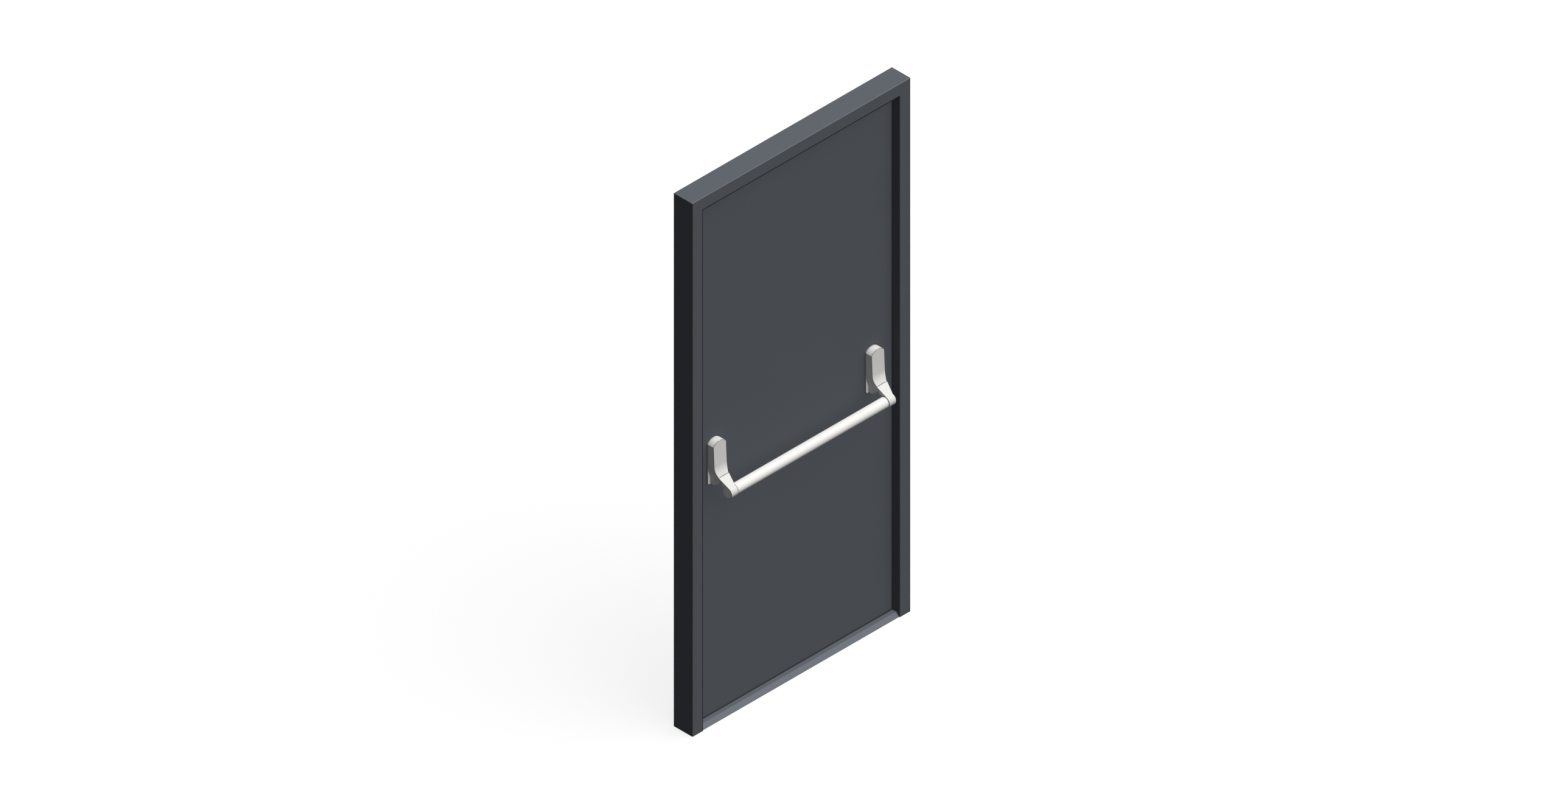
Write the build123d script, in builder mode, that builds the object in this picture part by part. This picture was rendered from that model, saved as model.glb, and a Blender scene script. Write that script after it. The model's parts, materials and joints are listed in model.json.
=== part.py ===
"""Fire exit door: a steel leaf in a welded steel frame, with a push bar across it.

Millimetres. X runs to the right as seen from the room, Y through the doorway
from the room to the outside, Z up. The origin is the centre of the underside
of the threshold.
"""

import os
from math import atan2, cos, degrees, radians, sin, sqrt

from build123d import *

os.makedirs("parts", exist_ok=True)


# Driving sizes of the frame
frame_width = 1000.0
frame_height = 2115.0
frame_face = 50.0  # width of a jamb or the head, seen from the room
stop_depth = 33.0  # from the frame's room face back to the stop
stop_width = 15.0  # how far the stop stands in front of the leaf
frame_sheet = 1.5
frame_bend = 3.0  # outer radius of the bends at the room face

# Driving sizes of the threshold
threshold_height = 15.0
threshold_toe = 2.5  # from the frame's room face to the toe of the ramp
threshold_ramp = 13.5  # run of the ramp
threshold_wall = 2.0
notch_clearance = 0.2  # around the threshold where it passes through the jambs

# Driving sizes of the seals
seal_gap = 3.0  # between the stop and the leaf
seal_touch = 0.3  # left free in front of the leaf
seal_width = 8.0
seal_inset = 0.5  # from the edge of the stop
seal_base = 1.0  # flat base of the seal, under its round back

# Driving sizes of the leaf
leaf_thickness = 50.0
leaf_sheet = 1.2
edge_gap = 5.0  # around the leaf, at the sides and at the top
floor_gap = 6.0  # under the leaf
latch_bevel = 2.5  # how far the latch edge leans back on the room side

# Driving sizes of the hinges
hinge_length = 120.0
hinge_inset = 190.0  # from the leaf's ends to the nearest end of a hinge
hinge_plate = 3.0
hinge_wing = 34.0  # from the hinge's axis to the outer edge of a wing
hinge_knuckle_radius = 7.0
hinge_pin_radius = 4.0
hinge_pin_head = 3.0
hinge_knuckles = 3
hinge_axial_gap = 0.4
hinge_sweep_gap = 1.0  # between a wing and the other wing's knuckles
hinge_corner = 6.0
running_gap = 0.05  # radial, between a pin and its bore

# Driving sizes of the lock
lock_height = 1000.0  # middle of the forend above the floor
forend_length = 235.0
forend_width = 22.0
forend_thickness = 3.0
latch_length = 36.0
latch_width = 12.0
latch_depth = 40.0
latch_gap = 0.3
latch_slant = 5.0  # of the latch's sloping face, along the leaf's edge
latch_slant_depth = 3.0  # the same, into the leaf
overcut = 0.5  # how far a cut starts outside the face that it opens
strike_length = 120.0
strike_width = 26.0
strike_lip = 6.0  # the strike's backing reaches this far behind the jamb's wall
strike_hole_gap = 2.0  # around the latch
strike_fit = 0.2

# Driving sizes of the push bar's gear
gear_latch_margin = 81.6  # from the clear opening's latch side to the middle of an arm
gear_hinge_margin = 93.6  # the same, on the hinge side
gear_foot = 932.0  # underside of the base plates above the floor
gear_width = 58.0
gear_height = 175.5
arch_rise = 14.7  # of the arched top
plate_thickness = 4.0
plate_corner = 8.0
neck_width = 33.0  # of the housing at its foot
neck_height = 20.0  # up to where the housing starts to widen
flare_height = 80.0  # up to where it is at full width
flare_turn = 0.35  # share of the widening below the place where its curve turns over
housing_wall = 2.5
housing_edge = 1.0  # chamfer round the housing's front
housing_top_out = 28.7  # from the leaf to the housing's front, at its top
housing_waist_out = 33.0  # the same, where the front starts to curve out
housing_waist = 83.0  # height of that place above the foot
foot_out = 22.7  # from the leaf to the front of the housing's foot
notch_out = 34.7
notch_height = 14.6
cavity_foot = 46.0  # underside of the housing's hollow above the foot

# Driving sizes of the arms and the bar
pivot_out = 25.3
pivot_height = 32.6
nose_radius = 25.5  # of the housing's nose, round the pivot
mouth_angle = 31.7  # upper end of the nose, above level
nose_low_angle = -23.5
nose_gap = 0.8
drum_cover = 2.2  # least thickness of the nose that is left over the drum, above the mouth
mouth_gap_angle = 1.5  # between the arm's neck and the mouth's upper end
slot_low_angle = -90.0  # lower end of the mouth between the cheeks
arm_slot = 29.0  # between the housing's cheeks
arm_slot_gap = 0.4
pin_radius = 4.0
pin_half_length = 16.2
hub_radius = 12.0
drum_top_angle = 60.0
arm_low_angle = -30.9
boss_width = 30.7
boss_radius = 20.5
boss_rim = 2.0  # chamfer round the boss's free end
boss_step = 1.6  # the arm's free side lies this far inside that end
shoulder_width = 46.8
bar_out = 78.5
bar_height = -1.5  # middle of the bar above the foot
bar_radius = 19.0
bar_wall = 2.0
bar_fit = 0.1
fold_out = 84.0  # where the arm's sloping top meets the boss
underside_out = 60.0
underside_height = 10.0
socket_floor = 6.0


# Planes that several pieces share
half_width = frame_width / 2
y_room = -(threshold_toe + stop_depth) / 2
y_stop = y_room + stop_depth
y_leaf = y_stop + seal_gap
y_out = y_leaf + leaf_thickness
frame_depth = y_out - y_room
rebate_face = frame_face - stop_width
leaf_side = half_width - rebate_face - edge_gap
leaf_top = frame_height - rebate_face - edge_gap
stop_side = half_width - frame_face
stop_top = frame_height - frame_face
left_gear_x = -stop_side + gear_latch_margin
gear_span = stop_side - gear_hinge_margin - left_gear_x  # between the middles of the two arms


def write(piece, name):
    """Label a finished piece and write it to its own file."""
    piece.label = name
    export_step(piece, f"parts/{name}.step")


# Corners of the rebated frame section: distance from its outer face, depth
section_points = [
    (0, 0),
    (frame_face, 0),
    (frame_face, stop_depth),
    (rebate_face, stop_depth),
    (rebate_face, frame_depth),
    (0, frame_depth),
]

# Corners of the threshold's section in Y and Z
threshold_points = [
    (y_room + threshold_toe, 0),
    (y_room + threshold_toe + threshold_ramp, threshold_height),
    (y_stop, threshold_height),
    (y_stop, 0),
]


# Strike: a plate with a hole for the latch, seated in the left jamb from behind
strike_x = -half_width + rebate_face
strike_y = y_leaf + leaf_thickness / 2

with BuildPart() as strike_plate:
    with BuildSketch(Plane.YZ.offset(strike_x - frame_sheet)):
        with Locations((strike_y, lock_height)):
            SlotOverall(strike_length, strike_width, rotation=90)
    extrude(amount=frame_sheet)
    with BuildSketch(Plane.YZ.offset(strike_x - 2 * frame_sheet)):
        with Locations((strike_y, lock_height)):
            Rectangle(strike_width + 2 * strike_lip, strike_length + 2 * strike_lip)
    extrude(amount=frame_sheet)
    with BuildSketch(Plane.YZ.offset(strike_x - 2 * frame_sheet)):
        with Locations((strike_y, lock_height)):
            Rectangle(latch_width + 2 * strike_hole_gap, latch_length + 2 * strike_hole_gap)
    extrude(amount=2 * frame_sheet, mode=Mode.SUBTRACT)
write(strike_plate.part, "strike_plate")


# Jambs: rebated hollow sections, mitred to the head and notched for the threshold
for side, name in ((-1, "left_jamb"), (1, "right_jamb")):
    with BuildPart() as jamb:
        with BuildSketch(Plane.XY) as jamb_section:
            with BuildLine():
                Polyline(
                    *[
                        (side * (half_width - u), y_room + v)
                        for u, v in section_points
                    ],
                    close=True,
                )
            make_face()
            fillet(jamb_section.vertices().group_by(Axis.Y)[0], frame_bend)
            offset(amount=-frame_sheet, kind=Kind.INTERSECTION, mode=Mode.SUBTRACT)
        extrude(amount=frame_height)
        mitre = Plane(origin=(side * half_width, 0, frame_height), z_dir=(-side, 0, 1))
        split(bisect_by=mitre, keep=Keep.BOTTOM)
        with BuildSketch(Plane.YZ.offset(side * half_width)):
            with BuildLine():
                Polyline(*threshold_points, close=True)
            make_face()
            offset(amount=notch_clearance, kind=Kind.INTERSECTION)
        extrude(amount=-side * frame_face, mode=Mode.SUBTRACT)
        if side < 0:
            with BuildSketch(Plane.YZ.offset(strike_x)):
                with Locations((strike_y, lock_height)):
                    SlotOverall(
                        strike_length + 2 * strike_fit,
                        strike_width + 2 * strike_fit,
                        rotation=90,
                    )
            extrude(amount=-frame_sheet, mode=Mode.SUBTRACT)
    write(jamb.part, name)


# Head: the same section lying across the top
with BuildPart() as head:
    with BuildSketch(Plane.YZ.offset(-half_width)) as head_section:
        with BuildLine():
            Polyline(
                *[(y_room + v, frame_height - u) for u, v in section_points],
                close=True,
            )
        make_face()
        fillet(head_section.vertices().group_by(Axis.Y)[0], frame_bend)
        offset(amount=-frame_sheet, kind=Kind.INTERSECTION, mode=Mode.SUBTRACT)
    extrude(amount=frame_width)
    for side in (-1, 1):
        mitre = Plane(origin=(side * half_width, 0, frame_height), z_dir=(-side, 0, 1))
        split(bisect_by=mitre, keep=Keep.TOP)
write(head.part, "head")


# Threshold: a hollow ramped bar with closed ends that runs through both jambs
with BuildPart() as threshold:
    with BuildSketch(Plane.YZ.offset(-half_width)):
        with BuildLine():
            Polyline(*threshold_points, close=True)
        make_face()
    extrude(amount=frame_width)
    with BuildSketch(Plane.YZ.offset(-half_width + threshold_wall)):
        with BuildLine():
            Polyline(*threshold_points, close=True)
        make_face()
        offset(amount=-threshold_wall, kind=Kind.INTERSECTION)
    extrude(amount=frame_width - 2 * threshold_wall, mode=Mode.SUBTRACT)
write(threshold.part, "threshold")


# Seals: strips with a round back, on the faces of the stops
seal_height = seal_gap - seal_touch
seal_edge = stop_side + seal_inset
seal_far = seal_edge + seal_width
head_seal_low = stop_top + seal_inset


def seal_section(plane, centre):
    """A seal's section, drawn with its base on the plane's first axis."""
    with BuildSketch(plane) as section:
        with BuildLine():
            left = centre - seal_width / 2
            right = centre + seal_width / 2
            Polyline((left, seal_base), (left, 0), (right, 0), (right, seal_base))
            ThreePointArc((right, seal_base), (centre, seal_height), (left, seal_base))
        make_face()
    return section.sketch


for side, name in ((-1, "left_seal"), (1, "right_seal")):
    seal_plane = Plane((0, y_stop, threshold_height), x_dir=(1, 0, 0), z_dir=(0, 0, 1))
    with BuildPart() as seal:
        section = seal_section(seal_plane, side * (seal_edge + seal_width / 2))
        extrude(section, amount=head_seal_low - threshold_height)
    write(seal.part, name)

head_seal_plane = Plane((-seal_far, y_stop, 0), x_dir=(0, 0, -1), z_dir=(1, 0, 0))
with BuildPart() as head_seal:
    section = seal_section(head_seal_plane, -(head_seal_low + seal_width / 2))
    extrude(section, amount=2 * seal_far)
write(head_seal.part, "head_seal")

threshold_seal_top = threshold_height - seal_inset
threshold_seal_plane = Plane((-stop_side, y_stop, 0), x_dir=(0, 0, -1), z_dir=(1, 0, 0))
with BuildPart() as threshold_seal:
    section = seal_section(threshold_seal_plane, -(threshold_seal_top - seal_width / 2))
    extrude(section, amount=2 * stop_side)
write(threshold_seal.part, "threshold_seal")


# Leaf: a folded tray, an outer sheet and a solid core, with a leaning latch edge
leaf_height = leaf_top - floor_gap


def leaf_points(inset=0.0):
    """Corners of the leaf's plan, drawn in by an inset from the edges and faces."""
    lean = latch_bevel / leaf_thickness
    edge_inset = inset * sqrt(1 + lean**2)
    near = y_leaf + inset
    far = y_out - inset
    near_x = -leaf_side + latch_bevel - lean * inset + edge_inset
    far_x = -leaf_side + lean * inset + edge_inset
    return [(near_x, near), (leaf_side - inset, near), (leaf_side - inset, far), (far_x, far)]


edge_angle = degrees(atan2(latch_bevel, leaf_thickness))
edge_middle = (-leaf_side + latch_bevel / 2, y_leaf + leaf_thickness / 2, lock_height)
edge_normal = (-cos(radians(edge_angle)), -sin(radians(edge_angle)), 0)
edge_plane = Plane(origin=edge_middle, x_dir=(0, 0, 1), z_dir=edge_normal)

with BuildPart() as forend_pocket:
    with BuildSketch(edge_plane):
        SlotOverall(forend_length, forend_width)
    extrude(amount=-forend_thickness)
    extrude(forend_pocket.faces().sort_by(Axis.X)[0], amount=overcut)

with BuildPart() as latch_pocket:
    with BuildSketch(edge_plane.offset(-forend_thickness)):
        Rectangle(latch_length + 2 * latch_gap, latch_width + 2 * latch_gap)
    extrude(amount=-(latch_depth - forend_thickness + latch_gap))

with BuildPart() as leaf_inner_skin:
    with BuildSketch(Plane.XY.offset(floor_gap)):
        with BuildLine():
            Polyline(*leaf_points(), close=True)
        make_face()
    extrude(amount=leaf_height)
    with BuildSketch(Plane.XY.offset(floor_gap + leaf_sheet)):
        with BuildLine():
            Polyline(*leaf_points(leaf_sheet), close=True)
        make_face()
    extrude(amount=leaf_height - 2 * leaf_sheet, mode=Mode.SUBTRACT)
    with BuildSketch(Plane.XZ.offset(-(y_out - leaf_sheet))):
        with Locations((0, floor_gap + leaf_height / 2)):
            Rectangle(frame_width, frame_height)
    extrude(amount=-leaf_sheet, mode=Mode.SUBTRACT)
    add(forend_pocket.part, mode=Mode.SUBTRACT)
write(leaf_inner_skin.part, "leaf_inner_skin")

with BuildPart() as leaf_outer_skin:
    with BuildSketch(Plane.XY.offset(floor_gap)):
        with BuildLine():
            Polyline(*leaf_points(), close=True)
        make_face()
    extrude(amount=leaf_height)
    with BuildSketch(Plane.XZ.offset(-(y_out - leaf_sheet))):
        with Locations((0, floor_gap + leaf_height / 2)):
            Rectangle(frame_width, frame_height)
    extrude(amount=leaf_thickness, mode=Mode.SUBTRACT)
write(leaf_outer_skin.part, "leaf_outer_skin")

with BuildPart() as leaf_core:
    with BuildSketch(Plane.XY.offset(floor_gap + leaf_sheet)):
        with BuildLine():
            Polyline(*leaf_points(leaf_sheet), close=True)
        make_face()
    extrude(amount=leaf_height - 2 * leaf_sheet)
    add(forend_pocket.part, mode=Mode.SUBTRACT)
    add(latch_pocket.part, mode=Mode.SUBTRACT)
write(leaf_core.part, "leaf_core")


# Lock: the forend lies flush in the latch edge, with the latch drawn in
with BuildPart() as lock_forend:
    with BuildSketch(edge_plane):
        SlotOverall(forend_length, forend_width)
        Rectangle(latch_length + 2 * latch_gap, latch_width + 2 * latch_gap, mode=Mode.SUBTRACT)
    extrude(amount=-forend_thickness)
write(lock_forend.part, "lock_forend")

with BuildPart() as latch_bolt:
    with BuildSketch(edge_plane):
        Rectangle(latch_length, latch_width)
    extrude(amount=-latch_depth)
    tip = latch_bolt.edges().filter_by(Axis.Z).group_by(Axis.X)[0].sort_by(Axis.Y)[0]
    chamfer(tip, latch_slant, latch_slant_depth)
write(latch_bolt.part, "latch_bolt")


# Hinges: knuckles outside, a wing on the jamb and a wing on the leaf
hinge_x = leaf_side + edge_gap / 2
hinge_y = y_out + hinge_knuckle_radius
knuckle_pitch = hinge_length / hinge_knuckles
knuckle_length = knuckle_pitch - hinge_axial_gap
hinge_travel = leaf_height - 2 * hinge_inset - hinge_length


def hinge_wing_part(low, side, knuckle_numbers):
    """One wing with its knuckles: side 1 goes to the jamb, side -1 to the leaf."""
    reach = hinge_knuckle_radius + hinge_sweep_gap
    with BuildPart() as wing:
        with BuildSketch(Plane.XZ.offset(-y_out)) as outline:
            with Locations((hinge_x + side * hinge_wing / 2, low + hinge_length / 2)):
                Rectangle(hinge_wing, hinge_length)
            far_corners = outline.vertices().group_by(Axis.X)[-1 if side > 0 else 0]
            fillet(far_corners, hinge_corner)
            for number in range(hinge_knuckles):
                if number not in knuckle_numbers:
                    middle = low + (number + 0.5) * knuckle_pitch
                    with Locations((hinge_x + side * reach / 2, middle)):
                        Rectangle(reach, knuckle_pitch + hinge_axial_gap, mode=Mode.SUBTRACT)
        extrude(amount=-hinge_plate)
        for number in knuckle_numbers:
            bottom = low + number * knuckle_pitch + hinge_axial_gap / 2
            with BuildSketch(Plane.XY.offset(bottom)):
                with Locations((hinge_x, hinge_y)):
                    Circle(hinge_knuckle_radius)
            extrude(amount=knuckle_length)
        with BuildSketch(Plane.XY.offset(low)):
            with Locations((hinge_x, hinge_y)):
                Circle(hinge_pin_radius + running_gap)
        extrude(amount=hinge_length, mode=Mode.SUBTRACT)
    return wing.part


for index, place in enumerate(("lower", "middle", "upper")):
    hinge_low = floor_gap + hinge_inset + index * hinge_travel / 2
    jamb_knuckles = [n for n in range(hinge_knuckles) if n % 2 == 0]
    leaf_knuckles = [n for n in range(hinge_knuckles) if n % 2 == 1]
    write(hinge_wing_part(hinge_low, 1, jamb_knuckles), f"{place}_hinge_jamb_wing")
    write(hinge_wing_part(hinge_low, -1, leaf_knuckles), f"{place}_hinge_leaf_wing")
    with BuildPart() as hinge_pin:
        with BuildSketch(Plane.XY.offset(hinge_low)):
            with Locations((hinge_x, hinge_y)):
                Circle(hinge_pin_radius)
        extrude(amount=hinge_length)
        with BuildSketch(Plane.XY.offset(hinge_low + hinge_length)):
            with Locations((hinge_x, hinge_y)):
                Circle(hinge_knuckle_radius)
        extrude(amount=hinge_pin_head)
    write(hinge_pin.part, f"{place}_hinge_pin")


# Push bar gear, in a side view whose first number is the distance from the leaf
def side_point(out, height):
    """A point of the gear's side view, as Y and Z."""
    return (y_leaf - out, gear_foot + height)


def nose_point(radius, angle):
    """A point round the pivot, with the angle counted up from level."""
    return side_point(
        pivot_out + radius * cos(radians(angle)),
        pivot_height + radius * sin(radians(angle)),
    )


def gear_outline(plane, inset=0.0):
    """The housing's front outline in X and Z, drawn in by an inset."""
    full = gear_width / 2 - inset
    neck = neck_width / 2 - inset
    flare_low = gear_foot + neck_height
    flare_top = gear_foot + flare_height
    turn = (
        neck + flare_turn * (full - neck),
        flare_low + flare_turn * (flare_top - flare_low),
    )
    spring = gear_foot + gear_height - arch_rise - inset
    crown = gear_foot + gear_height - inset
    with BuildSketch(plane) as outline:
        with BuildLine():
            Polyline((0, gear_foot), (neck, gear_foot), (neck, flare_low))
            TangentArc((neck, flare_low), turn, tangent=(0, 1))
            TangentArc((full, flare_top), turn, tangent=(0, -1))
            Line((full, flare_top), (full, spring))
            mirror(about=Plane.YZ)
            ThreePointArc((full, spring), (0, crown), (-full, spring))
        make_face()
    return outline.sketch


pivot = side_point(pivot_out, pivot_height)
bar_middle = side_point(bar_out, bar_height)
mouth = nose_point(nose_radius, mouth_angle)
nose_low = nose_point(nose_radius, nose_low_angle)
nose_front = nose_point(nose_radius, 0)
slot_radius = nose_radius - drum_cover
open_radius = nose_radius + overcut
arm_half = arm_slot / 2 - arm_slot_gap
facing_limit = 0.01  # least share of a face's normal that counts as facing the room

for gear, side_sign in (("left", 1), ("right", -1)):
    gear_x = left_gear_x if gear == "left" else left_gear_x + gear_span
    side_plane = Plane.YZ.offset(gear_x)
    front_plane = Plane(origin=(gear_x, y_leaf, 0), x_dir=(1, 0, 0), z_dir=(0, -1, 0))

    with BuildPart() as base_plate:
        with BuildSketch(front_plane) as plate_outline:
            with BuildLine():
                half = gear_width / 2
                spring = gear_foot + gear_height - arch_rise
                crown = gear_foot + gear_height
                Polyline((half, spring), (half, gear_foot), (-half, gear_foot), (-half, spring))
                ThreePointArc((-half, spring), (0, crown), (half, spring))
            make_face()
            fillet(plate_outline.vertices().group_by(Axis.Z)[0], plate_corner)
        extrude(amount=plate_thickness)
    write(base_plate.part, f"{gear}_base_plate")

    with BuildPart() as hollow:
        with BuildSketch(side_plane):
            with BuildLine():
                waist = side_point(housing_waist_out - housing_wall, housing_waist)
                top = side_point(housing_top_out - housing_wall, gear_height)
                Polyline(
                    side_point(plate_thickness, cavity_foot),
                    side_point(plate_thickness, gear_height),
                    top,
                    waist,
                    side_point(housing_waist_out - housing_wall, cavity_foot),
                    close=True,
                )
            make_face()
        extrude(amount=gear_width / 2, both=True)
        extrude(gear_outline(front_plane, housing_wall), amount=bar_out, mode=Mode.INTERSECT)

    with BuildPart() as housing:
        with BuildSketch(side_plane):
            with BuildLine():
                waist = side_point(housing_waist_out, housing_waist)
                top = side_point(housing_top_out, gear_height)
                lean = (waist[0] - top[0], waist[1] - top[1])
                TangentArc(waist, mouth, tangent=lean)
                ThreePointArc(mouth, nose_front, nose_low)
                Polyline(
                    nose_low,
                    side_point(notch_out, notch_height),
                    side_point(foot_out, 0),
                    side_point(plate_thickness, 0),
                    side_point(plate_thickness, gear_height),
                    top,
                    waist,
                )
            make_face()
        extrude(amount=gear_width / 2, both=True)
        extrude(gear_outline(front_plane), amount=bar_out, mode=Mode.INTERSECT)
        fronts = housing.faces().filter_by(lambda face: face.normal_at().Y < -facing_limit)
        others = housing.faces().filter_by(lambda face: face.normal_at().Y > -facing_limit)
        chamfer(fronts.edges() & others.edges(), housing_edge)
        add(hollow.part, mode=Mode.SUBTRACT)
        with BuildSketch(side_plane):
            with Locations(pivot):
                Circle(slot_radius)
            with BuildLine():
                slot_top = nose_point(open_radius, mouth_angle + mouth_gap_angle)
                slot_low = nose_point(open_radius, slot_low_angle)
                ThreePointArc(slot_top, nose_point(open_radius, 0), slot_low)
                Polyline(slot_low, pivot, slot_top)
            make_face()
        extrude(amount=arm_slot / 2, both=True, mode=Mode.SUBTRACT)
        with BuildSketch(side_plane):
            with Locations(pivot):
                Circle(pin_radius + running_gap)
        extrude(amount=pin_half_length + arm_slot_gap, both=True, mode=Mode.SUBTRACT)
    write(housing.part, f"{gear}_housing")

    with BuildPart() as pivot_pin:
        with BuildSketch(side_plane):
            with Locations(pivot):
                Circle(pin_radius)
        extrude(amount=pin_half_length, both=True)
    write(pivot_pin.part, f"{gear}_pivot_pin")

    shoulder_radius = nose_radius + nose_gap
    drum_radius = slot_radius - nose_gap
    shoulder_top = nose_point(shoulder_radius, mouth_angle)
    shoulder_low = nose_point(shoulder_radius, arm_low_angle)
    fold_height = bar_height + sqrt(boss_radius**2 - (fold_out - bar_out) ** 2)
    free_half = boss_width / 2 - boss_step
    bar_half = boss_width / 2
    left_half, right_half = (free_half, bar_half) if gear == "left" else (bar_half, free_half)
    with BuildPart() as shank:
        with BuildSketch(side_plane):
            with BuildLine():
                ThreePointArc(shoulder_low, nose_point(shoulder_radius, 0), shoulder_top)
                Polyline(
                    shoulder_top,
                    side_point(fold_out, fold_height),
                    bar_middle,
                    side_point(underside_out, underside_height),
                    shoulder_low,
                )
            make_face()
        extrude(amount=shoulder_width / 2, both=True)
        with BuildSketch(front_plane):
            with BuildLine():
                Polyline(
                    (-shoulder_width / 2, shoulder_top[1]),
                    (-left_half, gear_foot + fold_height),
                    (-left_half, gear_foot - bar_out),
                    (right_half, gear_foot - bar_out),
                    (right_half, gear_foot + fold_height),
                    (shoulder_width / 2, shoulder_top[1]),
                    close=True,
                )
            make_face()
        extrude(amount=2 * bar_out, mode=Mode.INTERSECT)

    with BuildPart() as arm:
        with BuildSketch(side_plane):
            with Locations(bar_middle):
                Circle(boss_radius)
        extrude(amount=boss_width / 2, both=True)
        ends = arm.edges().filter_by(GeomType.CIRCLE).sort_by(Axis.X)
        chamfer(ends[0] if gear == "left" else ends[-1], boss_rim)
        add(shank.part)
        with BuildSketch(side_plane):
            with BuildLine():
                Polyline(
                    nose_point(drum_radius, mouth_angle),
                    nose_point(shoulder_radius + nose_gap, mouth_angle),
                )
                ThreePointArc(
                    nose_point(shoulder_radius + nose_gap, mouth_angle),
                    nose_point(shoulder_radius + nose_gap, 0),
                    nose_point(shoulder_radius + nose_gap, arm_low_angle),
                )
                Polyline(
                    nose_point(shoulder_radius + nose_gap, arm_low_angle),
                    pivot,
                    nose_point(drum_radius, drum_top_angle),
                )
                ThreePointArc(
                    nose_point(drum_radius, drum_top_angle),
                    nose_point(drum_radius, (drum_top_angle + mouth_angle) / 2),
                    nose_point(drum_radius, mouth_angle),
                )
            make_face()
            with Locations(pivot):
                Circle(hub_radius)
                Circle(pin_radius + running_gap, mode=Mode.SUBTRACT)
        extrude(amount=arm_half, both=True)
        with BuildSketch(side_plane.offset(side_sign * boss_width / 2)):
            with Locations(bar_middle):
                Circle(bar_radius + bar_fit)
        extrude(amount=-side_sign * (boss_width - socket_floor), mode=Mode.SUBTRACT)
    write(arm.part, f"{gear}_arm")


# Push bar: one tube between the sockets of the two arms
bar_length = gear_span - boss_width + 2 * (boss_width - socket_floor) - 2 * bar_fit
with BuildPart() as push_bar:
    with BuildSketch(Plane.YZ.offset(left_gear_x + (gear_span - bar_length) / 2)):
        with Locations(bar_middle):
            Circle(bar_radius)
            Circle(bar_radius - bar_wall, mode=Mode.SUBTRACT)
    extrude(amount=bar_length)
write(push_bar.part, "push_bar")
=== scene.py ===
"""Looks of the fire exit door: finishes, screws, floor, light and camera. Metres."""

import json
import math

import bpy
from mathutils import Matrix, Vector


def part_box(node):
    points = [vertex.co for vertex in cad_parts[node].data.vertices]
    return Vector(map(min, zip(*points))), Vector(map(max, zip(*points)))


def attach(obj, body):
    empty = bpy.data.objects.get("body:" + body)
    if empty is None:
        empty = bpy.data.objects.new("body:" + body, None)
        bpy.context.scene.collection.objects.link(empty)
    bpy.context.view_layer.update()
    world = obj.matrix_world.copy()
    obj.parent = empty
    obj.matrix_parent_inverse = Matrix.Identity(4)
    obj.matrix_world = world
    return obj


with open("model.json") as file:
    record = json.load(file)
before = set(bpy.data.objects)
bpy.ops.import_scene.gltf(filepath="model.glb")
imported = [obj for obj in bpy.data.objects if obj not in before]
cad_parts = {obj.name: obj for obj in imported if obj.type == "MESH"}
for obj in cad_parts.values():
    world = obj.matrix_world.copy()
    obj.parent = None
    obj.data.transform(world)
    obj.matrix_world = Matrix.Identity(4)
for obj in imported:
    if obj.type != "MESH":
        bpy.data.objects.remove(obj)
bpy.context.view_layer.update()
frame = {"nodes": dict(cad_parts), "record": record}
nodes = frame["nodes"]

MM = 0.001
WHITE = (1.0, 1.0, 1.0)

# Camera: an isometric view without perspective, placed and scaled as the photograph is
PHOTO_WIDTH = 2576
PHOTO_HEIGHT = 1322
PIXELS_PER_METRE = 506.9
DOOR_MIDDLE = Vector((0.0, 0.02525, 1.0575))
DOOR_PIXEL = (1301.0, 659.8)  # where the photograph shows the middle of the door
TURN_LEFT = math.radians(45.0)
LOOK_DOWN = math.asin(math.tan(math.radians(30.0)))
CAMERA_DISTANCE = 8.0
CAMERA_REACH = 60.0

# Light: an even lamp above the front, one level from behind, and a soft dome. A lamp's vector
# is the share of full light that it gives to a face along each axis
KEY_LAMP = Vector((0.33, -0.55, 1.33))
BACK_LAMP = Vector((-0.09, 0.65, 0.0))
LAMP_SPREAD = math.radians(20.0)
DOME_DIRECTION = Vector((0.35, -0.55, 0.76)).normalized()
DOME_STRENGTH = 1.3
DOME_POWER = 3.0
AMBIENT = 0.04

# Floor: the grey that the light turns just white, and a darker one that lights the door less
FLOOR_SEEN = (0.58, 0.58, 0.58)
FLOOR_BOUNCED = (0.08, 0.08, 0.08)
FLOOR_REACH = 14.0
FLOOR_LEVEL = -0.2 * MM

# Colours of the finishes
DARK_COAT = (0.0685, 0.0745, 0.0855)
GEAR_COAT = (0.45, 0.445, 0.432)
BAR_COAT = (0.52, 0.513, 0.5)
LOCK_STEEL = (0.46, 0.455, 0.44)
SEAL_BLACK = (0.011, 0.011, 0.012)
CORE_WOOL = (0.46, 0.4, 0.27)
SCREW_STEEL = (0.12, 0.12, 0.125)

# Texture of the finishes
GRAIN_HEIGHT = 0.1 * MM  # of orange peel and of brushed lines
BRUSHED_RELIEF = 0.2
BRUSHED_SHADE = 0.3
BRUSHED_GLOSS = 0.25
BRUSHED_UPRIGHT = (1.0, 1.0, 0.02)  # a noise drawn out along Z
NOT_BRUSHED = (1.0, 1.0, 1.0)
FIBRES_PER_METRE = 700.0
FIBRE_HEIGHT = 1.0 * MM
FIBRE_RELIEF = 0.6
FIBRE_SHADE = 0.9

# Marks on the finishes. Each pair is where a mark starts and where it is full
MARK_SAMPLES = 4
EDGE_AGREES = (0.98, 0.88)  # of the rounded normal with the flat one
JOINT_OPEN = (0.909, 0.4545)  # painted shade: share of its surroundings that a point in a joint sees
SLOPE_TILT = (0.3, 0.55)  # of a slope given a painted highlight, both up and to the room
PAINTED_HIGHLIGHT_SHARE = 0.4  # painted highlight: share by which slopes and top edge are lighter
BAR_IN_BOSS = 24.6 * MM  # length of the bar inside each boss

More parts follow.
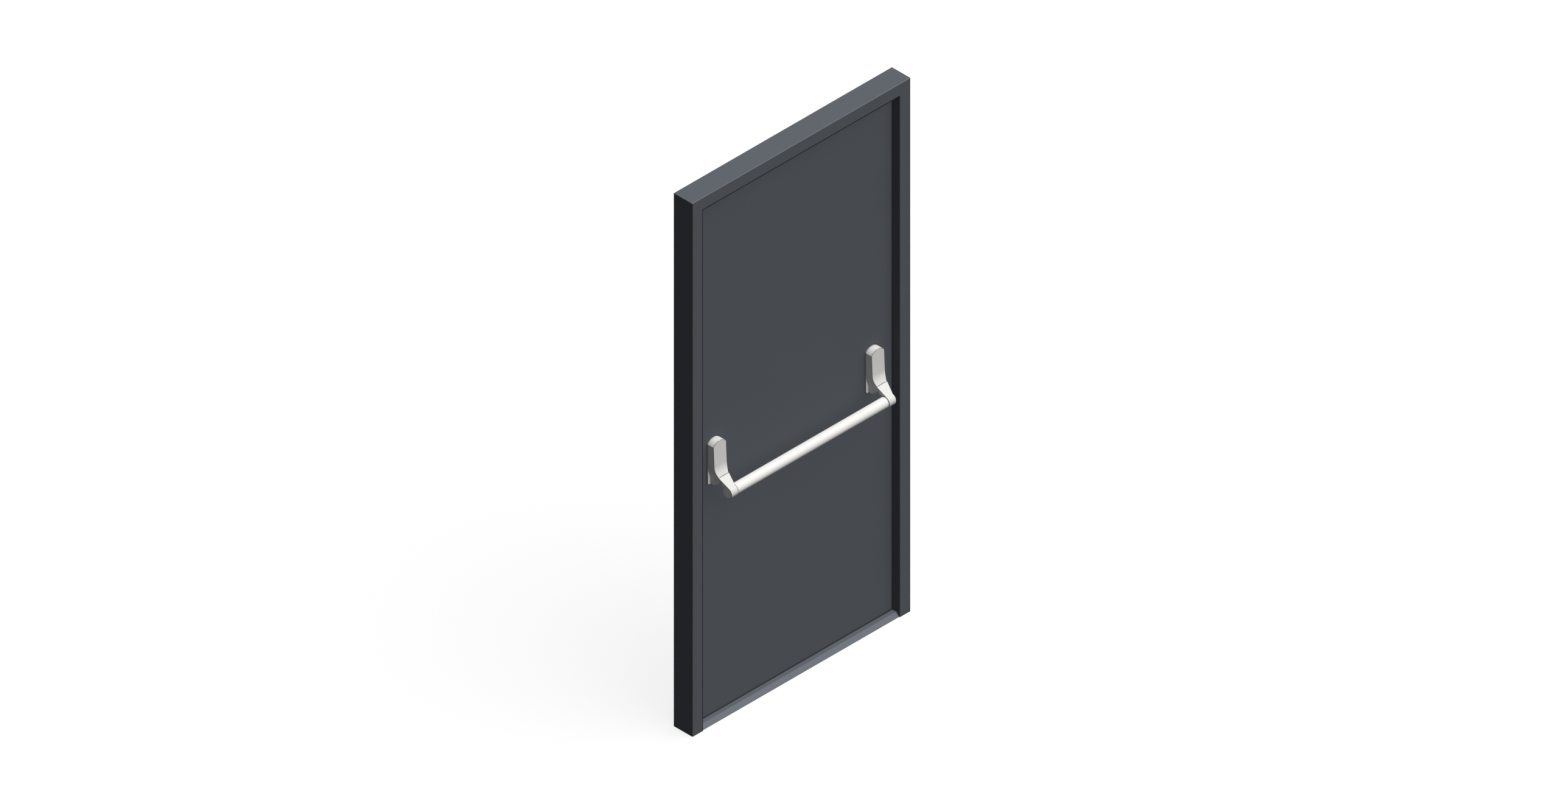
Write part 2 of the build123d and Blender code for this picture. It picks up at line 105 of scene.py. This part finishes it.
# Ways that a face turns, as the part of its normal along an axis
SQUARE_ON = 0.9  # more than this: it lies square to the axis
FACES_ROOM = -0.3  # less than this along Y: it faces the room
SIDEWAYS = 0.05  # more than this along X: it turns sideways
OFF_SQUARE = 0.001  # less than this along Y: it stands square on the leaf

# Screws
SCREW_RISE = 0.6 * MM
HINGE_SCREW = 4.2 * MM
PLATE_SCREW = 4.0 * MM
SHOULDER_SHARE = 0.8
SOCKET_SHARE = 0.45
HEAD_SIDES = 20
SOCKET_SIDES = 6
WING_INSETS = ((19 * MM, 12 * MM), (7 * MM, 36 * MM))  # from the outer side, and from each end
FOREND_INSET = 11 * MM
STRIKE_INSET = 18 * MM
AIMED_FROM = 20 * MM  # distance outside a piece from which a screw's place is looked for
TO_THE_ROOM = Vector((0.0, -1.0, 0.0))
TO_THE_LEFT = Vector((-1.0, 0.0, 0.0))
LEFT_SIDE = -1
RIGHT_SIDE = 1
HINGES = ("lower", "middle", "upper")


class Graph:
    """Adds nodes to a node tree and joins them, so that a material reads as a list of steps."""

    def __init__(self, tree):
        self.tree = tree

    def feed(self, made, values):
        """Gives a node's inputs their values or links."""
        for key, value in values.items():
            if isinstance(value, bpy.types.NodeSocket):
                self.tree.links.new(value, made.inputs[key])
            else:
                made.inputs[key].default_value = value

    def node(self, kind, values=None, **settings):
        """A node of a kind, with its own settings and the values or links of its inputs."""
        made = self.tree.nodes.new(kind)
        for name, value in settings.items():
            setattr(made, name, value)
        self.feed(made, values or {})
        return made

    def group(self, tree, values=None):
        """A shader group, with the values or links of its inputs."""
        return self.node("ShaderNodeGroup", values, node_tree=tree)

    def math(self, operation, first, second=0.0, third=0.0, clamp=False):
        """The result of a Math node."""
        values = {0: first, 1: second, 2: third}
        made = self.node("ShaderNodeMath", values, operation=operation, use_clamp=clamp)
        return made.outputs[0]

    def ramp(self, value, nought_at, one_at):
        """A mask that goes evenly from nought at one value to one at another."""
        slope = 1.0 / (one_at - nought_at)
        return self.math("MULTIPLY_ADD", value, slope, -nought_at * slope, clamp=True)

    def varied(self, noise, change, middle=1.0):
        """A middle value that goes up and down with a noise."""
        centred = self.math("SUBTRACT", noise, 0.5)
        return self.math("MULTIPLY_ADD", centred, change, middle)

    def scaled(self, colour, factor):
        """A colour times a number."""
        made = self.node("ShaderNodeVectorMath", {0: colour, "Scale": factor}, operation="SCALE")
        return made.outputs[0]

    def noise(self, vector, size, detail):
        """A noise whose lumps are about as large as a size."""
        scale = self.math("DIVIDE", 1.0, size)
        values = {"Vector": vector, "Scale": scale, "Detail": detail}
        return self.node("ShaderNodeTexNoise", values).outputs[0]

    def facing(self):
        """The parts of the surface's own normal along X, Y and Z."""
        normal = self.node("ShaderNodeNewGeometry").outputs["Normal"]
        return self.node("ShaderNodeSeparateXYZ", {0: normal}).outputs


def rgba(colour):
    """A colour with full opacity."""
    return (*colour, 1.0)


def add_sockets(tree, inputs, outputs):
    """Gives a node group its named inputs and outputs."""
    for label, kind, default in inputs:
        socket = tree.interface.new_socket(name=label, in_out="INPUT", socket_type=kind)
        if default is not None:
            socket.default_value = default
    for label, kind in outputs:
        tree.interface.new_socket(name=label, in_out="OUTPUT", socket_type=kind)


def shader_group(name, inputs, outputs):
    """An empty shader group with named inputs and outputs, and its two end nodes."""
    tree = bpy.data.node_groups.new(name, "ShaderNodeTree")
    add_sockets(tree, inputs, outputs)
    graph = Graph(tree)
    return graph, graph.node("NodeGroupInput").outputs, graph.node("NodeGroupOutput")


def coat_group():
    """Sprayed coat: a fine orange peel, a cloudy shade and small changes of gloss."""
    graph, given, end = shader_group(
        "sprayed_coat",
        [
            ("Vector", "NodeSocketVector", None),
            ("Colour", "NodeSocketColor", None),
            ("Cloud Size", "NodeSocketFloat", 0.2),
            ("Cloud Depth", "NodeSocketFloat", 0.04),
            ("Peel Size", "NodeSocketFloat", 0.0012),
            ("Roughness", "NodeSocketFloat", 0.5),
            ("Gloss Change", "NodeSocketFloat", 0.06),
        ],
        [
            ("Colour", "NodeSocketColor"),
            ("Roughness", "NodeSocketFloat"),
            ("Height", "NodeSocketFloat"),
        ],
    )
    clouds = graph.noise(given["Vector"], given["Cloud Size"], detail=4.0)
    peel = graph.noise(given["Vector"], given["Peel Size"], detail=2.0)
    cloudy = graph.varied(clouds, given["Cloud Depth"])
    speckled = graph.varied(peel, given["Cloud Depth"], cloudy)
    colour = graph.scaled(given["Colour"], speckled)
    gloss = graph.varied(clouds, given["Gloss Change"], given["Roughness"])
    graph.feed(end, {"Colour": colour, "Roughness": gloss, "Height": peel})
    return graph.tree


def edge_group():
    """Where a coat is painted darker: dark lines along sharp edges, painted shade in joints."""
    graph, given, end = shader_group(
        "edges_and_joints",
        [
            ("Edge Width", "NodeSocketFloat", 0.001),
            ("Joint Depth", "NodeSocketFloat", 0.006),
        ],
        [("Edge", "NodeSocketFloat"), ("Joint", "NodeSocketFloat")],
    )
    rounded = graph.node(
        "ShaderNodeBevel", {"Radius": given["Edge Width"]}, samples=MARK_SAMPLES
    ).outputs[0]
    flat = graph.node("ShaderNodeNewGeometry").outputs["Normal"]
    agreement = graph.node(
        "ShaderNodeVectorMath", {0: rounded, 1: flat}, operation="DOT_PRODUCT"
    ).outputs["Value"]
    # Painted shade: ambient occlusion darkens the coat where pieces meet
    open_share = graph.node(
        "ShaderNodeAmbientOcclusion", {"Distance": given["Joint Depth"]}, samples=MARK_SAMPLES
    ).outputs["AO"]
    edge = graph.ramp(agreement, *EDGE_AGREES)
    joint = graph.ramp(open_share, *JOINT_OPEN)
    graph.feed(end, {"Edge": edge, "Joint": joint})
    return graph.tree


def frame_group():
    """Painted frame lines: shadow at the opening, highlights on slopes and the top front edge."""
    graph, given, end = shader_group(
        "frame_lines",
        [
            ("Vector", "NodeSocketVector", None),
            ("Half Width", "NodeSocketFloat", 0.45),
            ("Height", "NodeSocketFloat", 2.065),
            ("Line Width", "NodeSocketFloat", 0.0055),
            ("Front", "NodeSocketFloat", -0.018),
            ("Highlight Width", "NodeSocketFloat", 0.0035),
        ],
        [
            ("Opening", "NodeSocketFloat"),
            ("Side Face", "NodeSocketFloat"),
            ("Painted Highlight", "NodeSocketFloat"),
        ],
    )
    place = graph.node("ShaderNodeSeparateXYZ", {0: given["Vector"]}).outputs
    facing = graph.facing()

    # Painted shadow line: a narrow band on room-facing faces along the opening's edge is painted
    # dark
    sideways = graph.math("ABSOLUTE", place["X"])
    beside = graph.math("SUBTRACT", sideways, given["Half Width"])
    above = graph.math("SUBTRACT", place["Z"], given["Height"])
    outside = graph.math("MAXIMUM", beside, above)
    half_line = graph.math("MULTIPLY", given["Line Width"], 0.5)
    off_middle = graph.math("ABSOLUTE", graph.math("SUBTRACT", outside, half_line))
    near = graph.math("LESS_THAN", off_middle, half_line)
    to_room = graph.math("LESS_THAN", facing["Y"], FACES_ROOM)
    off_right_jamb = graph.math("LESS_THAN", place["X"], given["Half Width"])
    opening = graph.math("MULTIPLY", graph.math("MULTIPLY", near, to_room), off_right_jamb)

    side_face = graph.math("GREATER_THAN", graph.math("ABSOLUTE", facing["X"]), SQUARE_ON)

    # Painted highlight: slopes facing up and to the room, and a strip along the top's front edge,
    # are painted lighter
    to_front = graph.math("MULTIPLY", facing["Y"], -1.0)
    slope = graph.ramp(graph.math("MINIMUM", to_front, facing["Z"]), *SLOPE_TILT)
    behind = graph.math("SUBTRACT", place["Y"], given["Front"])
    front_strip = graph.math("LESS_THAN", behind, given["Highlight Width"])
    upward = graph.math("GREATER_THAN", facing["Z"], SQUARE_ON)
    painted_highlight = graph.math("MAXIMUM", slope, graph.math("MULTIPLY", front_strip, upward))

    graph.feed(end, {"Opening": opening, "Side Face": side_face, "Painted Highlight": painted_highlight})
    return graph.tree


def rim_group():
    """Narrow slanting rims of castings: they turn sideways, and to the room or upwards too."""
    graph, _, end = shader_group("slanting_rims", [], [("Mask", "NodeSocketFloat")])
    facing = graph.facing()
    sideways = graph.math("ABSOLUTE", facing["X"])
    turned = graph.math("GREATER_THAN", sideways, SIDEWAYS)
    not_side = graph.math("LESS_THAN", sideways, SQUARE_ON)
    slanting = graph.math("MULTIPLY", turned, not_side)
    to_room = graph.math("LESS_THAN", facing["Y"], FACES_ROOM)
    off_square = graph.math("GREATER_THAN", graph.math("ABSOLUTE", facing["Y"]), OFF_SQUARE)
    upward = graph.math("GREATER_THAN", facing["Z"], 0.0)
    rising = graph.math("MULTIPLY", off_square, upward)
    either = graph.math("MAXIMUM", to_room, rising)
    graph.feed(end, {"Mask": graph.math("MULTIPLY", slanting, either)})
    return graph.tree


def ring_group():
    """The narrow dark rings where a bar that lies along X enters its two bosses."""
    graph, given, end = shader_group(
        "bar_rings",
        [
            ("Vector", "NodeSocketVector", None),
            ("Left Boss", "NodeSocketFloat", -0.36),
            ("Right Boss", "NodeSocketFloat", 0.35),
            ("Ring Width", "NodeSocketFloat", 0.003),
        ],
        [("Mask", "NodeSocketFloat")],
    )
    along = graph.node("ShaderNodeSeparateXYZ", {0: given["Vector"]}).outputs["X"]
    off_left = graph.math("SUBTRACT", along, given["Left Boss"])
    off_right = graph.math("SUBTRACT", given["Right Boss"], along)
    nearest = graph.math("MINIMUM", off_left, off_right)
    graph.feed(end, {"Mask": graph.math("LESS_THAN", nearest, given["Ring Width"])})
    return graph.tree


def brushed_group():
    """Brushed metal: fine lines along one axis, in height, shade and gloss."""
    graph, given, end = shader_group(
        "brushed_lines",
        [
            ("Vector", "NodeSocketVector", None),
            ("Stretch", "NodeSocketVector", BRUSHED_UPRIGHT),
            ("Line Size", "NodeSocketFloat", 0.0006),
            ("Colour", "NodeSocketColor", None),
            ("Roughness", "NodeSocketFloat", 0.35),
        ],
        [
            ("Colour", "NodeSocketColor"),
            ("Roughness", "NodeSocketFloat"),
            ("Height", "NodeSocketFloat"),
        ],
    )
    drawn = graph.node(
        "ShaderNodeVectorMath", {0: given["Vector"], 1: given["Stretch"]}, operation="MULTIPLY"
    ).outputs[0]
    lines = graph.noise(drawn, given["Line Size"], detail=3.0)
    colour = graph.scaled(given["Colour"], graph.varied(lines, BRUSHED_SHADE))
    gloss = graph.varied(lines, BRUSHED_GLOSS, given["Roughness"])
    graph.feed(end, {"Colour": colour, "Roughness": gloss, "Height": lines})
    return graph.tree


COAT = coat_group()
EDGE = edge_group()
FRAME_LINES = frame_group()
RIM = rim_group()
RING = ring_group()
BRUSHED = brushed_group()


def plain_marks(graph, place, edges):
    """Marks of most coats: dark sharp edges, and full colour elsewhere."""
    return edges, 1.0


def frame_marks(graph, place, edges):
    """Frame marks: dark edges on side faces only, painted opening shadow and highlights."""
    lines = graph.group(
        FRAME_LINES,
        {
            "Vector": place,
            "Half Width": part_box("right_jamb")[0].x,
            "Height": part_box("head")[0].z,
            "Front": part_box("head")[0].y,
        },
    ).outputs
    side_edges = graph.math("MULTIPLY", edges, lines["Side Face"])
    dark = graph.math("MAXIMUM", side_edges, lines["Opening"])
    full = graph.math("MULTIPLY_ADD", lines["Painted Highlight"], PAINTED_HIGHLIGHT_SHARE, 1.0)
    return dark, full


def gear_marks(graph, place, edges):
    """Marks of the gear's castings: dark sharp edges and slanting rims."""
    rims = graph.group(RIM).outputs["Mask"]
    return graph.math("MAXIMUM", edges, rims), 1.0


def bar_marks(graph, place, edges):
    """Marks of the bar: dark sharp edges, and a ring at each boss."""
    rings = graph.group(
        RING,
        {
            "Vector": place,
            "Left Boss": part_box("push_bar")[0].x + BAR_IN_BOSS,
            "Right Boss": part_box("push_bar")[1].x - BAR_IN_BOSS,
        },
    ).outputs["Mask"]
    return graph.math("MAXIMUM", edges, rings), 1.0


def bare_material(name):
    """A material without nodes, and the graph that fills it."""
    material = bpy.data.materials.new(name)
    material.use_nodes = True
    material.node_tree.nodes.clear()
    return material, Graph(material.node_tree)


def new_material(name):
    """A material with only a Principled shader and the surface's own coordinates."""
    material, graph = bare_material(name)
    shader = graph.node("ShaderNodeBsdfPrincipled")
    graph.node("ShaderNodeOutputMaterial", {"Surface": shader.outputs[0]})
    place = graph.node("ShaderNodeTexCoord").outputs["Object"]
    return material, graph, shader, place


def bumped(graph, height, strength, distance):
    """The normal of a surface with a fine relief."""
    values = {"Height": height, "Strength": strength, "Distance": distance}
    return graph.node("ShaderNodeBump", values).outputs[0]


def coated(
    name,
    colour,
    *,
    roughness,
    specular,
    cloud_size,
    cloud_depth,
    peel_size,
    peel_relief,
    edge_width,
    edge_shade,
    marks=plain_marks,
):
    """A sprayed coat on metal, with dark lines on sharp edges and joint shade painted on."""
    material, graph, shader, place = new_material(name)
    coat = graph.group(
        COAT,
        {
            "Vector": place,
            "Colour": rgba(colour),
            "Cloud Size": cloud_size,
            "Cloud Depth": cloud_depth,
            "Peel Size": peel_size,
            "Roughness": roughness,
        },
    ).outputs
    edge_lines_and_joint_shade = graph.group(EDGE, {"Edge Width": edge_width}).outputs
    dark, full = marks(graph, place, edge_lines_and_joint_shade["Edge"])
    # Dark lines painted along edges and painted shade in joints darken the coat
    mask = graph.math("MAXIMUM", dark, edge_lines_and_joint_shade["Joint"])
    shade = graph.math("MULTIPLY_ADD", mask, edge_shade - 1.0, full)
    graph.feed(
        shader,
        {
            "Base Color": graph.scaled(coat["Colour"], shade),
            "Roughness": coat["Roughness"],
            "Normal": bumped(graph, coat["Height"], peel_relief, GRAIN_HEIGHT),
            "Specular IOR Level": specular,
        },
    )
    return material


def dark_coat(name, marks=plain_marks):
    """Dark grey matt powder coat of the frame, the leaf and the hinges."""
    return coated(
        name,
        DARK_COAT,
        roughness=0.7,
        specular=0.0,
        cloud_size=0.35,
        cloud_depth=0.05,
        peel_size=1.1 * MM,
        peel_relief=0.25,
        edge_width=3.0 * MM,
        edge_shade=0.3,
        marks=marks,
    )


def gear_coat():
    """Light silver grey satin coat of the base plates, housings and arms."""
    return coated(
        "gear_coat",
        GEAR_COAT,
        roughness=0.45,
        specular=0.1,
        cloud_size=0.05,
        cloud_depth=0.05,
        peel_size=0.9 * MM,
        peel_relief=0.2,
        edge_width=1.5 * MM,
        edge_shade=0.2,
        marks=gear_marks,
    )


def bar_coat():
    """Lighter satin coat of the push bar."""
    return coated(
        "bar_coat",
        BAR_COAT,
        roughness=0.4,
        specular=0.15,
        cloud_size=0.12,
        cloud_depth=0.04,
        peel_size=0.9 * MM,
        peel_relief=0.15,
        edge_width=3.0 * MM,
        edge_shade=0.2,
        marks=bar_marks,
    )


def rubber():
    """Matt black extruded rubber of the seals."""
    return coated(
        "seal_rubber",
        SEAL_BLACK,
        roughness=0.8,
        specular=0.2,
        cloud_size=0.03,
        cloud_depth=0.3,
        peel_size=0.8 * MM,
        peel_relief=0.3,
        edge_width=0.3 * MM,
        edge_shade=1.0,
    )


def brushed(name, colour, *, roughness, stretch):
    """Bare brushed steel."""
    material, graph, shader, place = new_material(name)
    lines = graph.group(
        BRUSHED,
        {"Vector": place, "Stretch": stretch, "Colour": rgba(colour), "Roughness": roughness},
    ).outputs
    graph.feed(
        shader,
        {
            "Base Color": lines["Colour"],
            "Roughness": lines["Roughness"],
            "Normal": bumped(graph, lines["Height"], BRUSHED_RELIEF, GRAIN_HEIGHT),
            "Metallic": 1.0,
        },
    )
    return material


def wool():
    """Pressed mineral wool of the leaf's core: short fibres in a warm yellow brown."""
    material, graph, shader, place = new_material("core_board")
    fibres = graph.node(
        "ShaderNodeTexNoise",
        {"Vector": place, "Scale": FIBRES_PER_METRE, "Detail": 6.0, "Distortion": 2.0},
    ).outputs[0]
    graph.feed(
        shader,
        {
            "Base Color": graph.scaled(CORE_WOOL, graph.varied(fibres, FIBRE_SHADE)),
            "Normal": bumped(graph, fibres, FIBRE_RELIEF, FIBRE_HEIGHT),
            "Roughness": 0.95,
            "Specular IOR Level": 0.1,
        },
    )
    return material


FINISHES = {
    "frame_paint": dark_coat("frame_paint", frame_marks),
    "leaf_paint": dark_coat("leaf_paint"),
    "hinge_steel": dark_coat("hinge_steel"),
    "gear_coat": gear_coat(),
    "bar_coat": bar_coat(),
    "lock_steel": brushed(
        "lock_steel", LOCK_STEEL, roughness=0.38, stretch=BRUSHED_UPRIGHT
    ),
    "seal_rubber": rubber(),
    "core_board": wool(),
}

for row in frame["record"]["subparts"]:
    slots = nodes[row["node"]].data.materials
    slots.clear()
    slots.append(FINISHES[row["material_slot"]])


def screw_tree():
    """Countersunk screws with a hexagon socket, one on each point."""
    tree = bpy.data.node_groups.new("countersunk_screws", "GeometryNodeTree")
    add_sockets(
        tree,
        [
            ("Geometry", "NodeSocketGeometry", None),
            ("Head Radius", "NodeSocketFloat", PLATE_SCREW),
            ("Head Rise", "NodeSocketFloat", SCREW_RISE),
            ("Socket Radius", "NodeSocketFloat", PLATE_SCREW * SOCKET_SHARE),
            ("Turn", "NodeSocketRotation", None),
            ("Material", "NodeSocketMaterial", None),
        ],
        [("Geometry", "NodeSocketGeometry")],
    )
    graph = Graph(tree)
    given = graph.node("NodeGroupInput").outputs
    end = graph.node("NodeGroupOutput")
    rise = given["Head Rise"]
    shoulder = graph.math("MULTIPLY", given["Head Radius"], SHOULDER_SHARE)
    head = graph.node(
        "GeometryNodeMeshCone",
        {
            "Vertices": HEAD_SIDES,
            "Radius Top": shoulder,
            "Radius Bottom": given["Head Radius"],
            "Depth": rise,
        },
    )
    key = graph.node(
        "GeometryNodeMeshCylinder",
        {"Vertices": SOCKET_SIDES, "Radius": given["Socket Radius"], "Depth": rise},
    )
    half_rise = graph.math("MULTIPLY", rise, 0.5)
    lifted = graph.node("ShaderNodeCombineXYZ", {"Z": graph.math("ADD", half_rise, rise)})
    key_place = graph.node(
        "GeometryNodeTransform", {"Geometry": key.outputs[0], "Translation": lifted.outputs[0]}
    )
    hollow = graph.node(
        "GeometryNodeMeshBoolean",
        {"Mesh 1": head.outputs[0], "Mesh 2": key_place.outputs[0]},
        operation="DIFFERENCE",
    )
    spread = graph.node(
        "GeometryNodeInstanceOnPoints",
        {
            "Points": given["Geometry"],
            "Instance": hollow.outputs[0],
            "Rotation": given["Turn"],
        },
    )
    solid = graph.node("GeometryNodeRealizeInstances", {"Geometry": spread.outputs[0]})
    painted = graph.node(
        "GeometryNodeSetMaterial",
        {"Geometry": solid.outputs[0], "Material": given["Material"]},
    )
    graph.feed(end, {"Geometry": painted.outputs[0]})
    return tree


SCREWS = screw_tree()
SCREW_FINISH = brushed("screw_steel", SCREW_STEEL, roughness=0.42, stretch=NOT_BRUSHED)


def surface_place(node, start, direction):
    """Where a line meets a CAD piece, and which way the surface faces there."""
    piece = nodes[node]
    inward = piece.matrix_world.inverted()
    hit, place, normal, _ = piece.ray_cast(inward @ start, inward.to_3x3() @ direction)
    if not hit:
        raise ValueError(f"no surface of {node} at {start}")
    return piece.matrix_world @ place, piece.matrix_world.to_3x3() @ normal


def screws(name, body, starts, direction, radius):
    """One mesh of screws on CAD pieces, which rides on a body."""
    places = [surface_place(node, start, direction) for node, start in starts]
    mesh = bpy.data.meshes.new(name)
    mesh.from_pydata([tuple(place) for place, _ in places], [], [])
    carrier = bpy.data.objects.new(name + "_points", mesh)
    bpy.context.scene.collection.objects.link(carrier)
    modifier = carrier.modifiers.new("screws", "NODES")
    modifier.node_group = SCREWS
    values = {
        "Head Radius": radius,
        "Head Rise": SCREW_RISE,
        "Socket Radius": radius * SOCKET_SHARE,
        "Turn": places[0][1].to_track_quat("Z", "Y").to_euler(),
        "Material": SCREW_FINISH,
    }
    for item in SCREWS.interface.items_tree:
        if item.in_out == "INPUT" and item.name in values:
            modifier[item.identifier] = values[item.name]
    evaluated = carrier.evaluated_get(bpy.context.evaluated_depsgraph_get())
    plain = bpy.data.meshes.new_from_object(evaluated)
    piece = bpy.data.objects.new(name, plain)
    bpy.context.scene.collection.objects.link(piece)
    bpy.data.objects.remove(carrier)
    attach(piece, body)


def wing_starts(node, side):
    """Four places outside a hinge wing, away from its knuckles, that screws are aimed from."""
    low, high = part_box(node)
    outer = high.x if side == RIGHT_SIDE else low.x
    depth = high.y + AIMED_FROM
    starts = []
    for across, inset in WING_INSETS:
        for height in (low.z + inset, high.z - inset):
            starts.append((node, Vector((outer - side * across, depth, height))))
    return starts


def end_starts(node, inset, side):
    """Two places outside an upright plate, one near each end, that screws are aimed from."""
    low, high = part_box(node)
    outer = high.x + AIMED_FROM if side == RIGHT_SIDE else low.x - AIMED_FROM
    middle = (low.y + high.y) / 2
    return [(node, Vector((outer, middle, height))) for height in (low.z + inset, high.z - inset)]


jamb_starts = []
leaf_starts = []
for hinge in HINGES:
    jamb_starts += wing_starts(f"{hinge}_hinge_jamb_wing", RIGHT_SIDE)
    leaf_starts += wing_starts(f"{hinge}_hinge_leaf_wing", LEFT_SIDE)
forend_starts = end_starts("lock_forend", FOREND_INSET, LEFT_SIDE)
strike_starts = end_starts("strike_plate", STRIKE_INSET, RIGHT_SIDE)
screws("jamb_hinge_screws", "frame", jamb_starts, TO_THE_ROOM, HINGE_SCREW)
screws("leaf_hinge_screws", "leaf", leaf_starts, TO_THE_ROOM, HINGE_SCREW)
screws("forend_screws", "leaf", forend_starts, -TO_THE_LEFT, PLATE_SCREW)
screws("strike_screws", "frame", strike_starts, TO_THE_LEFT, PLATE_SCREW)


def seen_directly(graph):
    """One where a camera, mirror or glass ray meets something, and nought for other rays."""
    path = graph.node("ShaderNodeLightPath").outputs
    seen = graph.math("MAXIMUM", path["Is Camera Ray"], path["Is Glossy Ray"])
    return graph.math("MAXIMUM", seen, path["Is Transmission Ray"])


def either_shader(graph, other, seen):
    """One shader for what is seen directly, and another for other rays."""
    values = {0: seen_directly(graph), 1: other.outputs[0], 2: seen.outputs[0]}
    return graph.node("ShaderNodeMixShader", values).outputs[0]


def studio_floor():
    """Pale floor that looks white but for the door's shadow, and throws little light back up."""
    near, far = -FLOOR_REACH, FLOOR_REACH
    corners = ((near, near), (far, near), (far, far), (near, far))
    mesh = bpy.data.meshes.new("floor")
    mesh.from_pydata([(x, y, FLOOR_LEVEL) for x, y in corners], [], [(0, 1, 2, 3)])
    floor = bpy.data.objects.new("floor", mesh)
    bpy.context.scene.collection.objects.link(floor)
    material, graph = bare_material("pale_floor")
    dim = graph.node("ShaderNodeBsdfDiffuse", {"Color": rgba(FLOOR_BOUNCED)})
    pale = graph.node("ShaderNodeBsdfDiffuse", {"Color": rgba(FLOOR_SEEN)})
    graph.node("ShaderNodeOutputMaterial", {"Surface": either_shader(graph, dim, pale)})
    mesh.materials.append(material)


def dome():
    """World light: a soft lobe and a little even light, but plain white where it is seen."""
    world = bpy.data.worlds.new("studio_dome")
    bpy.context.scene.world = world
    world.use_nodes = True
    world.node_tree.nodes.clear()
    graph = Graph(world.node_tree)
    direction = graph.node("ShaderNodeTexCoord").outputs["Generated"]
    agreement = graph.node(
        "ShaderNodeVectorMath", {0: direction, 1: tuple(DOME_DIRECTION)}, operation="DOT_PRODUCT"
    ).outputs["Value"]
    narrowed = graph.math("POWER", graph.math("MAXIMUM", agreement, 0.0), DOME_POWER)
    strength = graph.math("MULTIPLY_ADD", narrowed, DOME_STRENGTH, AMBIENT)
    light = graph.node("ShaderNodeBackground", {"Color": rgba(WHITE), "Strength": strength})
    white = graph.node("ShaderNodeBackground", {"Color": rgba(WHITE), "Strength": 1.0})
    graph.node("ShaderNodeOutputWorld", {"Surface": either_shader(graph, light, white)})


def lamp(name, shares, shines):
    """An even lamp without shadows, as in a catalogue picture, with or without its highlight."""
    data = bpy.data.lights.new(name, "SUN")
    data.energy = math.pi * shares.length
    data.angle = LAMP_SPREAD
    data.use_shadow = False
    made = bpy.data.objects.new(name, data)
    bpy.context.scene.collection.objects.link(made)
    made.rotation_mode = "QUATERNION"
    made.rotation_quaternion = shares.to_track_quat("Z", "Y")
    made.visible_glossy = shines


def camera():
    """An isometric camera that puts the door where the photograph has it."""
    back = Vector(
        (
            -math.sin(TURN_LEFT) * math.cos(LOOK_DOWN),
            -math.cos(TURN_LEFT) * math.cos(LOOK_DOWN),
            math.sin(LOOK_DOWN),
        )
    )
    turn = (-back).to_track_quat("-Z", "Y")
    right = turn @ Vector((1.0, 0.0, 0.0))
    up = turn @ Vector((0.0, 1.0, 0.0))
    middle_pixel = ((PHOTO_WIDTH - 1) / 2, (PHOTO_HEIGHT - 1) / 2)
    along = (DOOR_PIXEL[0] - middle_pixel[0]) / PIXELS_PER_METRE
    above = (middle_pixel[1] - DOOR_PIXEL[1]) / PIXELS_PER_METRE
    target = DOOR_MIDDLE - right * along - up * above
    data = bpy.data.cameras.new("camera")
    data.type = "ORTHO"
    data.ortho_scale = PHOTO_WIDTH / PIXELS_PER_METRE
    data.clip_end = CAMERA_REACH
    made = bpy.data.objects.new("camera", data)
    bpy.context.scene.collection.objects.link(made)
    place = Matrix.Translation(target + back * CAMERA_DISTANCE)
    made.matrix_world = place @ turn.to_matrix().to_4x4()
    bpy.context.scene.camera = made


studio_floor()
dome()
lamp("key_lamp", KEY_LAMP, shines=True)
lamp("back_lamp", BACK_LAMP, shines=False)
camera()
bpy.context.scene.view_settings.view_transform = "Standard"
